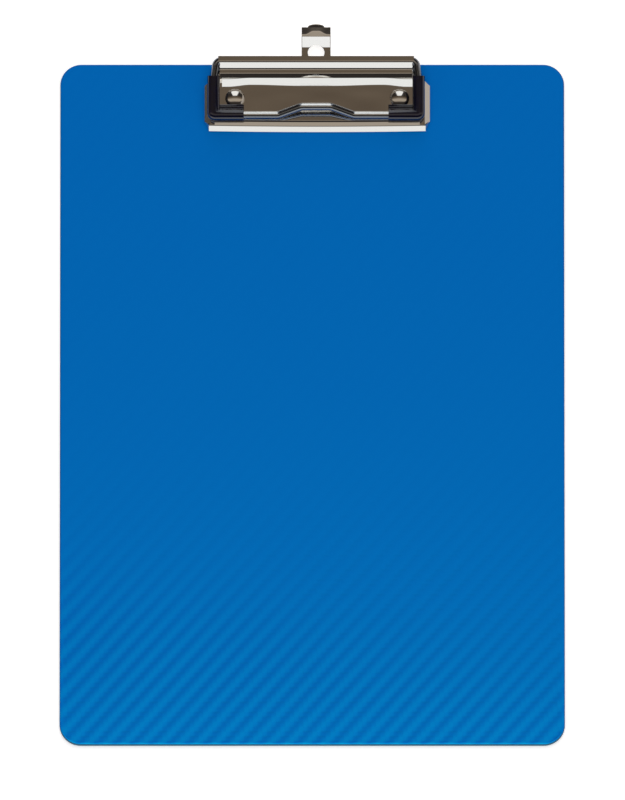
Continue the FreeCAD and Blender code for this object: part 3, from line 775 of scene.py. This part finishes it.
def plate_columns():
    """Places across the plate, with lines beside the eye and where its zones meet."""
    marks = [0, BESIDE_EYE, SLOPE_HALF_WIDTH, ARM_HALF_WIDTH]
    half = []
    for start, end in zip(marks, marks[1:]):
        half += spread(start, end, PLATE_COLUMN)[:-1]
    return both_halves(half + [ARM_HALF_WIDTH])


def flat_wave(x, setback):
    """The flat's faint waves, as a short and a long one whose crests cross."""
    short = math.sin(x / 5.3 + 0.6) * math.cos(setback / 2.7)
    long = math.sin(x / 9.1 - setback / 4.0)
    return short + 0.7 * long


def front_spot(x, row):
    """A place on the flat or the lip: the front is bowed and the flat a little wavy."""
    setback, rise = row
    bow = FRONT_BOW * (1 - (x / LIP_HALF_WIDTH) ** 2) * ease(setback, *BOW_SPAN)
    wavy = ease(abs(x), *WAVY_SIDE_SPAN) * ease(setback, *WAVY_REAR_SPAN) * ease(setback, *WAVY_FRONT_SPAN)
    return on_clip(x, setback + bow, rise + FLAT_WAVES * wavy * flat_wave(x, setback))


def add_front(surface, line):
    """The flat in front of the slope and the lip along its front, which runs on past the flat."""
    surface.add_zone(plate_columns(), line, front_spot)
    side = [x for x, _ in profile(FLANGE, FLANGE_RADII)]
    bend = next(x for x in side if x > FLANGE_BEND)
    tail = [x for x in side if x <= bend] + spread(bend, LIP_HALF_WIDTH, LIP_COLUMN)[1:]
    front = [row for row in line if row[0] >= LIP_START]
    for sign in (-1, 1):
        columns = sorted(sign * x for x in tail)
        surface.add_zone(columns, front, front_spot)


def add_flanges(surface, rows):
    """The flange down each side, slanted at its rear and mitred over a tucked corner in front."""
    side = profile(FLANGE, FLANGE_RADII)
    end = rows[-1]
    for sign in (-1, 1):

        def place(column, row, sign=sign):
            x, rise = column
            out = ease(x, *FLANGE_SPAN)
            slant = FLANGE_SLANT * out * (end - row) / (end - FLANGE_REAR)
            mitre = MITRE * out * ease(row, end - MITRE_LENGTH, end)
            return on_clip(sign * x, row + slant - mitre, rise)

        surface.add_zone(side[::sign], rows, place)
        corner = [on_clip(sign * x, end + past, rise) for x, past, rise in TUCKED_CORNER]
        surface.add_face(corner[::sign])


def slope_line(across):
    """The crest and the slope at one place across: they swing forward beside the rivets."""
    away = abs(across)
    beside = ease(away, *SWING_SPAN)
    foot = SLOPE_FOOT - FOOT_DRAWN_BACK * ease(away, *DRAWN_BACK_SPAN) + FOOT_SWING * beside
    top = SLOPE_TOP[0] + TOP_SWING * beside
    knots = [CREST_END, (top, SLOPE_TOP[1]), (foot, PLATE_RISE), (KNEE, PLATE_RISE)]
    return profile(knots, SLOPE_RADII)


def add_slope(surface):
    """The slope and the crest that close the flat's rear."""
    columns = [x for x in plate_columns() if abs(x) < SLOPE_HALF_WIDTH + SAME_PLACE]
    surface.add_bent_zone(columns, slope_line, on_clip)


def add_arms(surface, flange_rows):
    """The strips beside the window, and the deck and wall behind it."""

    def level(x, row):
        return on_clip(x, row, PLATE_RISE)

    front_rows = [WINDOW_FRONT] + [row for row in flange_rows if row < KNEE + SAME_PLACE]
    rear_rows = spread(DECK[-1][0], WINDOW_FRONT, ARM_STEP)
    wide = [x for x in plate_columns() if x > SLOPE_HALF_WIDTH - SAME_PLACE]
    for sign in (-1, 1):
        surface.add_zone(sorted(sign * x for x in wide), front_rows, level)
        surface.add_zone(sorted(sign * x for x in [WINDOW_HALF_WIDTH] + wide), rear_rows, level)
    deck_columns = sorted(plate_columns() + [-WINDOW_HALF_WIDTH, WINDOW_HALF_WIDTH])
    surface.add_zone(deck_columns, profile(DECK, DECK_RADII), lambda x, row: on_clip(x, *row))


def pin_ears(middle, half_width, thickness, radius, root):
    """Two round-topped ears on the pin's line, outside a half width from a middle."""
    pin = middle_of("pivot_pin")
    setback = TOP - pin.y
    ears = []
    for start in (-half_width - thickness, half_width):
        across = middle + start
        outline = [spot(across, setback + radius, root), spot(across, setback - radius, root)]
        for turn in turns(0, 181, 12):
            height = pin.z - FACE + radius * math.sin(turn)
            outline.append(spot(across, setback - radius * math.cos(turn), height))
        ear = extrude_outline("ear", outline, Vector((thickness, 0, 0)))
        ears.append(round_edges(ear, SHEET_EDGE))
    return ears


def make_base_plate():
    """The base plate: one pressing with a flat, a lip, flanges, a slope, arms, a deck and ears."""
    line = profile(LIP, LIP_RADII, LIP_STEPS)
    lip_start = next(row[0] for row in line if row[0] >= LIP_START)
    flange_rows = [FLANGE_REAR, ARM_MIDDLE]
    flange_rows += [row[0] for row in line if KNEE - SAME_PLACE < row[0] < lip_start + SAME_PLACE]
    surface = Surface()
    add_front(surface, line)
    add_flanges(surface, flange_rows)
    add_slope(surface)
    add_arms(surface, flange_rows)
    plate = thicken(surface.make("base_pressing"), PLATE_SHEET)
    join(plate, pin_ears(CLIP, WINDOW_HALF_WIDTH, PLATE_SHEET, BASE_EAR, BASE_EAR_ROOT))
    return add_piece(plate, BASE_BODY, NICKEL, "base_plate")


# ---- rivets -------------------------------------------------------------------------------

HEAD_HEIGHT = 2.0
DOME_RADIUS = 9.0
DOME_ANGLE = math.radians(19.5)
SHOULDER_RADIUS = 2.2
SHOULDER_ANGLE = math.radians(75)
SHANK_RADIUS = 2.0
TAIL_RADIUS = 3.3
TAIL_THICKNESS = 0.5
RIVET_EDGE = 0.13


def rivet_head(base):
    """Outline of a rivet's head from its middle out: a flat dome with a tighter shoulder."""
    dome_steps = 8
    shoulder_steps = 10
    outline = []
    for k in range(dome_steps + 1):
        angle = DOME_ANGLE * k / dome_steps
        height = base + HEAD_HEIGHT - DOME_RADIUS * (1 - math.cos(angle))
        outline.append((DOME_RADIUS * math.sin(angle), height))
    radius, height = outline[-1]
    for k in range(1, shoulder_steps + 1):
        angle = DOME_ANGLE + (SHOULDER_ANGLE - DOME_ANGLE) * k / shoulder_steps
        out = radius + SHOULDER_RADIUS * (math.sin(angle) - math.sin(DOME_ANGLE))
        outline.append((out, height - SHOULDER_RADIUS * (math.cos(DOME_ANGLE) - math.cos(angle))))
    return outline


def rivet_outline(base, foot):
    """Outline of a rivet: its head on the plate, its shank and its flat tail."""
    head = rivet_head(base)
    tail_top = foot + TAIL_THICKNESS
    tail_edge = TAIL_RADIUS - RIVET_EDGE
    shank = [(head[-1][0], base - RIVET_EDGE), (SHANK_RADIUS, base - RIVET_EDGE), (SHANK_RADIUS, tail_top)]
    tail = [(tail_edge, tail_top), (TAIL_RADIUS, tail_top - RIVET_EDGE)]
    tail += [(TAIL_RADIUS, foot + RIVET_EDGE), (tail_edge, foot), (0, foot)]
    return head + shank + tail


def make_rivets():
    """The two rivets."""
    for name in ("rivet_left", "rivet_right"):
        middle = middle_of(name)
        outline = rivet_outline(FACE + PLATE_RISE, low(name).z)
        made = lathe(f"{name}_body", outline, Vector((middle.x, middle.y, 0)))
        add_piece(made, BASE_BODY, RIVET_METAL, name)


# ---- lever --------------------------------------------------------------------------------

LEVER_SHEET = 0.9
THUMB_LIP_END = (-0.70, 10.5)
LEVER_BENDS = [(2.05, 10.5), (4.35, 7.8), (6.71, 7.8)]
LEVER_RADII = [1.2, 1.5, 1.3]
NOSE_END = (8.32, 6.89)
LEVER_HALF_WIDTH = 43.9
NOTCH_HALF_WIDTH = 43.1
NOTCH_SPAN = (2.0, 2.5)
LEVER_COLUMNS = 44
ARCH_HALF_WIDTH = 9.0
ARCH_DEPTH = 0.8
LEVER_EAR = 1.9
LEVER_EAR_ROOT = 7.3
LEVER_EAR_HALF_WIDTH = 39.7


def lever_line(share):
    """The lever's profile at one share across, from its thumb lip to its arched nose."""
    arch = 1 - ease(abs(share * LEVER_HALF_WIDTH), 0, ARCH_HALF_WIDTH)
    nose = Vector(NOSE_END).lerp(Vector(LEVER_BENDS[-1]), ARCH_DEPTH * arch)
    return profile([THUMB_LIP_END, *LEVER_BENDS, tuple(nose)], LEVER_RADII)


def make_lever():
    """The lever's pressing: thumb lip, riser, web and nose, a little narrower below the lip."""

    def place(share, setback, rise):
        notch = ease(setback, *NOTCH_SPAN)
        half = LEVER_HALF_WIDTH + (NOTCH_HALF_WIDTH - LEVER_HALF_WIDTH) * notch
        return on_lever(share * half, setback, rise)

    surface = Surface()
    surface.add_bent_zone(spread(-1, 1, 1 / LEVER_COLUMNS), lever_line, place)
    lever = thicken(surface.make("lever_pressing"), LEVER_SHEET)
    join(lever, pin_ears(LEVER, LEVER_EAR_HALF_WIDTH, LEVER_SHEET, LEVER_EAR, LEVER_EAR_ROOT))
    return add_piece(lever, LEVER_BODY, NICKEL, "lever")


# ---- bail ---------------------------------------------------------------------------------

WIRE_RADIUS = 1.75
WIRE_SIDES = 32
BAIL_HALF_WIDTH = 46.0
BAIL_FRONT = 25.5
BAIL_RISE = 5.35
WAVE_FRONT = 22.25
WAVE_RISE = 7.6
WELD_SETBACK = 0.75
WELD_RISE = 7.9


def make_bail():
    """The bail wire, with a wave in its front and its ends turned in under the lever's lip."""
    # Distance across, setback and rise, from the weld to the middle of the wave.
    half_route = [
        (31.0, WELD_SETBACK, WELD_RISE),
        (44.7, WELD_SETBACK, WELD_RISE),
        (BAIL_HALF_WIDTH, 9.5, BAIL_RISE),
        (BAIL_HALF_WIDTH, BAIL_FRONT, BAIL_RISE),
        (16.9, BAIL_FRONT, BAIL_RISE),
        (6.6, WAVE_FRONT, WAVE_RISE),
    ]
    half_radii = [2.6, 8.0, 2.6, 5.0, 5.0]
    left = [on_lever(-across, setback, rise) for across, setback, rise in half_route]
    right = [on_lever(across, setback, rise) for across, setback, rise in half_route]
    path = bent_line(left + right[::-1], half_radii + half_radii[::-1], steps=4, arc_steps=14)
    bail = tube("bail", path, WIRE_RADIUS, WIRE_SIDES)
    return add_piece(bail, LEVER_BODY, WIRE_METAL, "bail_wire")


# ---- boots --------------------------------------------------------------------------------

BOOT_LEG_WIDTH = 5.5
BOOT_WIDTH = 5.0
BOOT_BASE = BAIL_RISE - BOOT_WIDTH / 2
BOOT_END = 32.4
BOOT_TOP = 7.5
BOOT_CORNER = 3.4
BOOT_RIM = 2.2
CUT_END_SHARE = 0.12
NEAR = 0.01
FOOT_START = BAIL_HALF_WIDTH - 1.5
FOOT_FRONT = BAIL_FRONT - 1.0
FOOT_REAR = 20.2
FOOT_TOP_RISE = 4.6
FOOT_EDGE = 0.2
GROOVE_STEP = 0.9
GROOVE_HALF_WIDTH = 0.2
GROOVE_DEPTH = 0.16
RELIEF_RADIUS = 4.5
RELIEF_GAP = 0.2


def boot_outline():
    """Outline of the L over the bail's corner, as (distance across, setback) points."""
    outer = BAIL_HALF_WIDTH + BOOT_LEG_WIDTH / 2
    front = BAIL_FRONT + BOOT_WIDTH / 2
    inner = outer - BOOT_LEG_WIDTH
    rear = front - BOOT_WIDTH
    corner = []
    for turn in turns(0, 91, 10):
        across = outer - BOOT_CORNER * (1 - math.cos(turn))
        corner.append((across, front - BOOT_CORNER * (1 - math.sin(turn))))
    ends = [(BOOT_END, front), (BOOT_END, rear), (inner, rear), (inner, BOOT_TOP)]
    return [(outer, BOOT_TOP), *corner, *ends]


def boot_sleeve(side):
    """The L over the bail's corner, its long rims well rounded and its cut ends a little."""
    points = [on_lever(side * across, setback, BOOT_BASE) for across, setback in boot_outline()]
    sleeve = extrude_outline("sleeve", points, Vector((0, 0, BOOT_WIDTH)))
    weights = sleeve.data.attributes.new("bevel_weight_edge", "FLOAT", "EDGE")
    for edge in sleeve.data.edges:
        ends = [sleeve.data.vertices[index].co / MM for index in edge.vertices]
        level = abs(ends[0].z - ends[1].z) < NEAR
        at_top = all(abs(TOP - end.y - BOOT_TOP) < NEAR for end in ends)
        at_end = all(abs(abs(end.x - LEVER) - BOOT_END) < NEAR for end in ends)
        if level:
            weights.data[edge.index].value = CUT_END_SHARE if at_top or at_end else 1.0
    bevel = sleeve.modifiers.new("rims", "BEVEL")
    bevel.width = BOOT_RIM * MM
    bevel.segments = 6
    bevel.limit_method = "WEIGHT"
    return bake(sleeve)


def boot_foot(side):
    """The flat foot inside the corner, with fine grooves along its top."""
    outline = [(FOOT_FRONT, BOOT_BASE), (FOOT_REAR, BOOT_BASE), (FOOT_REAR, FOOT_TOP_RISE)]
    for groove in (1, 2, 3):
        middle = FOOT_REAR + GROOVE_STEP * groove
        outline.append((middle - GROOVE_HALF_WIDTH, FOOT_TOP_RISE))
        outline.append((middle, FOOT_TOP_RISE - GROOVE_DEPTH))
        outline.append((middle + GROOVE_HALF_WIDTH, FOOT_TOP_RISE))
    outline.append((FOOT_FRONT, FOOT_TOP_RISE))
    points = [on_lever(side * FOOT_START, setback, rise) for setback, rise in outline]
    foot = extrude_outline("foot", points, Vector((side * (BOOT_END - FOOT_START), 0, 0)))
    return round_edges(foot, FOOT_EDGE, angle=60)


def rivet_relief(rivet):
    """A ball that clears a rivet's head, to hollow a boot's foot where it lies over the head."""
    middle = middle_of(rivet)
    ball = (RELIEF_RADIUS ** 2 + HEAD_HEIGHT ** 2) / (2 * HEAD_HEIGHT)
    centre = Vector((middle.x, middle.y, FACE + PLATE_RISE + HEAD_HEIGHT - ball))
    radius = ball + RELIEF_GAP
    steps = 24
    angles = [math.pi * k / steps for k in range(steps + 1)]
    return lathe("relief", [(radius * math.sin(turn), radius * math.cos(turn)) for turn in angles], centre)


def make_boots():
    """The two boots over the bail's corners."""
    for side, end in ((-1, "left"), (1, "right")):
        boot = combine(boot_sleeve(side), boot_foot(side), "UNION")
        boot.name = f"boot_{end}"
        combine(boot, rivet_relief(f"rivet_{end}"), "DIFFERENCE")
        add_piece(boot, LEVER_BODY, BOOT_PLASTIC, f"corner_boot_{end}")


# ---- hanging eye --------------------------------------------------------------------------

EYE_SHEET = 0.9
EYE_HALF_WIDTH = 6.5
EYE_COLUMN = 0.7
EYE_TOP = 1.0
EYE_START = (1.7, EYE_TOP)
EYE_BEND = (-7.70, EYE_TOP)
EYE_DIP = (-13.05, -0.10)
EYE_CURL = (-13.9, -0.05)
EYE_MIDDLE_CURL = (-15.5, 0.10)
EYE_END = (-17.2, 0.80)
EYE_MIDDLE_END = (-17.2, 0.52)
EYE_RADII = [3.5, 0.8, 0.9]
CURL_SPAN = (1.2, 5.0)
THUMB_HALF_WIDTH = 3.8
THUMB_COLUMN = 0.5
THUMB_LENGTH = 1.4
THUMB_CLIMB = 0.28
THUMB_SHARES = [1, 0.75, 0.5, 0.25, 0]
TAIL_HALF_WIDTH = 8.75
TAIL_ROWS = [EYE_START[0], 3.0, 4.3, 5.5]
EYE_HOLE_RADIUS = 3.7
EYE_HOLE_SETBACK = -5.2
EYE_HOLE_EDGE = 0.15
EYE_HOLE_SIDES = 96


def eye_line(across):
    """The eye's profile at one place across: its end curls up, later in the middle."""
    middle = 1 - ease(abs(across), *CURL_SPAN)
    curl = Vector(EYE_CURL).lerp(Vector(EYE_MIDDLE_CURL), middle)
    end = Vector(EYE_END).lerp(Vector(EYE_MIDDLE_END), middle)
    return profile([tuple(end), tuple(curl), EYE_DIP, EYE_BEND, EYE_START], EYE_RADII)


def thumb_spot(x, share):
    """A place on the rounded thumb tab, at a share of its length past the eye's end."""
    setback, rise = eye_line(x)[0]
    curve = math.sqrt(max(0.0, 1 - (x / THUMB_HALF_WIDTH) ** 2))
    reach = THUMB_LENGTH * share * curve
    return on_lever(x, setback - reach, rise + reach * THUMB_CLIMB)


def eye_hole():
    """A cutter for the eye's hole, flared at both faces of the sheet."""
    flared = EYE_HOLE_RADIUS + EYE_HOLE_EDGE + OVERSHOOT
    outline = [
        (0, -OVERSHOOT),
        (flared, -OVERSHOOT),
        (EYE_HOLE_RADIUS, EYE_HOLE_EDGE),
        (EYE_HOLE_RADIUS, EYE_SHEET - EYE_HOLE_EDGE),
        (flared, EYE_SHEET + OVERSHOOT),
        (0, EYE_SHEET + OVERSHOOT),
    ]
    return lathe("eye_hole", outline, on_lever(0, EYE_HOLE_SETBACK, EYE_TOP - EYE_SHEET), EYE_HOLE_SIDES)


def make_eye():
    """The sliding eye: a holed strip that dips, curls up to a thumb tab, and has a wide tail."""
    thumb_half = spread(0, THUMB_HALF_WIDTH, THUMB_COLUMN)
    columns = both_halves(thumb_half + spread(THUMB_HALF_WIDTH, EYE_HALF_WIDTH, EYE_COLUMN)[1:])
    surface = Surface()
    surface.add_bent_zone(columns, eye_line, on_lever)
    surface.add_zone(both_halves(thumb_half), THUMB_SHARES, thumb_spot)
    tail = [-TAIL_HALF_WIDTH] + columns + [TAIL_HALF_WIDTH]
    surface.add_zone(tail, TAIL_ROWS, lambda x, row: on_lever(x, row, EYE_TOP))
    eye = thicken(surface.make("eye_strip"), EYE_SHEET)
    combine(eye, eye_hole(), "DIFFERENCE", folded=True)
    return add_piece(eye, EYE_BODY, NICKEL, "hanging_eye")


# ---- springs ------------------------------------------------------------------------------


def make_springs():
    """The springs: copies of the CAD's coils in spring steel, with the CAD's coils hidden."""
    pin = middle_of("pivot_pin")
    for name in ("spring_left", "spring_right"):
        coil = bpy.data.objects.new(f"{name}_coil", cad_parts[name].data.copy())
        bpy.context.scene.collection.objects.link(coil)
        shade(coil)
        coil.data.materials.clear()
        coil.data.materials.append(SPRING_STEEL)
        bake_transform(coil)
        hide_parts(name)


# ---- CAD nodes that stay ------------------------------------------------------------------


def finish_cad_nodes():
    """Give the CAD pieces that stay their finish."""
    for node in ("pivot_pin", "washer_left", "washer_right"):
        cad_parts[node].data.materials.clear()
        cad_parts[node].data.materials.append(PIN_STEEL)


# ---- studio -------------------------------------------------------------------------------

CAMERA_ELEVATION = 73.3
CAMERA_LENS = 2500.0
CAMERA_SENSOR = 36.0
FRAME_HEIGHT = 358.3
AIM = Vector((0.13, 1.75, 3.0))
FLOOR_HALF_WIDTH = 16000.0
BOX_SIDE_SPAN = (math.radians(20), math.radians(25))
BOX_LEAN_SPAN = (25.5, 28.5)
WALL_SPAN = (0.70, 0.93)
HORIZON_SPAN = (0.03, 0.06)
WHITE = (1.05, 1.08, 1.11)
CARD = (0.99, 1.02, 1.04)
CARD_EDGE = (0.25, 0.22, 0.19)
BEIGE = (0.42, 0.37, 0.31)
BROWN_LIGHT = (0.155, 0.122, 0.090)
BROWN = (0.095, 0.072, 0.052)
DARK = (0.030, 0.026, 0.024)
RIGHT_WALL = (0.50, 0.46, 0.42)
LEFT_WALL = (0.085, 0.075, 0.065)
HORIZON = (0.95, 0.94, 0.93)


def room_colour(nodes, lean):
    """The room's colour by lean: the angle in degrees from straight up towards the back."""
    stops = [
        (-86, CARD),
        (-57, CARD),
        (-53, CARD_EDGE),
        (-49, DARK),
        (-12, DARK),
        (-4, BEIGE),
        (7, BEIGE),
        (14, BROWN_LIGHT),
        (21, BROWN),
        (28, DARK),
    ]
    share = nodes.maths("MULTIPLY_ADD", lean, 1 / 180, 0.5)
    return nodes.ramp(share, [((angle + 90) / 180, colour) for angle, colour in stops])


def make_world():
    """A dim brown room with a big soft box behind the clip and a low white card in front."""
    world = bpy.data.worlds.new("studio")
    bpy.context.scene.world = world
    world.use_nodes = True
    nodes = Nodes(world.node_tree)
    x, y, z = nodes.axes(nodes.add("ShaderNodeTexCoord").outputs["Generated"])
    lean = nodes.maths("MULTIPLY", nodes.maths("ARCTAN2", y, z), 180 / math.pi)
    sideways = nodes.maths("ABSOLUTE", nodes.maths("ARCTAN2", x, y))
    inside = nodes.maths("SUBTRACT", 1.0, nodes.smooth(sideways, *BOX_SIDE_SPAN))
    soft_box = nodes.maths("MULTIPLY", inside, nodes.smooth(lean, *BOX_LEAN_SPAN))
    colour = nodes.mix(nodes.smooth(x, *WALL_SPAN), room_colour(nodes, lean), RIGHT_WALL)
    colour = nodes.mix(nodes.smooth(nodes.maths("MULTIPLY", x, -1.0), *WALL_SPAN), colour, LEFT_WALL)
    colour = nodes.mix(soft_box, colour, WHITE)
    colour = nodes.mix(nodes.smooth(z, *HORIZON_SPAN), HORIZON, colour)
    background = nodes.add("ShaderNodeBackground", {"Color": colour, "Strength": 1.0})
    nodes.add("ShaderNodeOutputWorld", {"Surface": background.outputs[0]})


def make_floor():
    """A large pale floor that glows a little, as a lit sweep does."""
    half = FLOOR_HALF_WIDTH
    corners = [(-half, -half), (half, -half), (half, half), (-half, half)]
    floor = new_object("floor", [Vector((x, y, 0.0)) for x, y in corners], [(0, 1, 2, 3)])
    material, nodes, place = new_material("floor_look")
    clouds = nodes.noise(place, scale=3.0)
    close_material(
        nodes,
        Base_Color=nodes.ramp(clouds, [(0.3, (0.86, 0.86, 0.86)), (0.7, (0.88, 0.88, 0.88))]),
        Roughness=0.9,
        Emission_Color=(1.0, 1.0, 1.0),
        Emission_Strength=0.55,
    )
    floor.data.materials.append(material)
    floor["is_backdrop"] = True
    return floor


def place_light(light, receivers, location, tilt):
    """Place a light, tilted in degrees, that lights only some objects and stays out of view."""
    linked = bpy.data.collections.new(f"{light.name}_receivers")
    for item in receivers:
        linked.objects.link(item)
    holder = bpy.data.objects.new(light.name, light)
    holder.location = location
    holder.rotation_euler = (math.radians(tilt), 0, 0)
    holder.light_linking.receiver_collection = linked
    holder.visible_camera = False
    bpy.context.scene.collection.objects.link(holder)
    return holder


def make_lights(board, floor):
    """Lights for the board and the floor only, so that the plating keeps its dark room."""
    sun = bpy.data.lights.new("overhead_fill", "SUN")
    sun.energy = 1.15
    sun.angle = math.radians(70)
    place_light(sun, [board, floor], (0, 0, 0), -12)
    strip = bpy.data.lights.new("front_strip", "AREA")
    strip.shape = "RECTANGLE"
    strip.size = 0.5
    strip.size_y = 0.03
    strip.color = (0.15, 1.0, 0.42)
    strip.energy = 1.6
    front = place_light(strip, [board], (0, -0.36, 0.04), 83)
    front.visible_glossy = False


def make_camera():
    """A camera far away with a long lens, over the board's front edge."""
    camera = bpy.data.cameras.new("camera")
    camera.lens = CAMERA_LENS
    camera.sensor_width = CAMERA_SENSOR
    distance = FRAME_HEIGHT / CAMERA_SENSOR * CAMERA_LENS * MM
    camera.clip_end = distance * 2
    holder = bpy.data.objects.new("camera", camera)
    turn = math.radians(CAMERA_ELEVATION)
    back = Vector((0, -math.cos(turn), math.sin(turn)))
    holder.location = AIM * MM + back * distance
    holder.rotation_euler = (math.radians(90 - CAMERA_ELEVATION), 0, 0)
    bpy.context.scene.collection.objects.link(holder)
    bpy.context.scene.camera = holder


def write_sizes():
    boxes = {"cad": CAD_BOX, "visual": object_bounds()}
    plain = {name: [list(corner) for corner in box] for name, box in boxes.items()}


board = make_board()
make_base_plate()
make_rivets()
make_lever()
make_bail()
make_boots()
make_eye()
make_springs()
finish_cad_nodes()
make_world()
make_lights(board, make_floor())
make_camera()
bpy.context.scene.view_settings.view_transform = "Standard"
write_sizes()
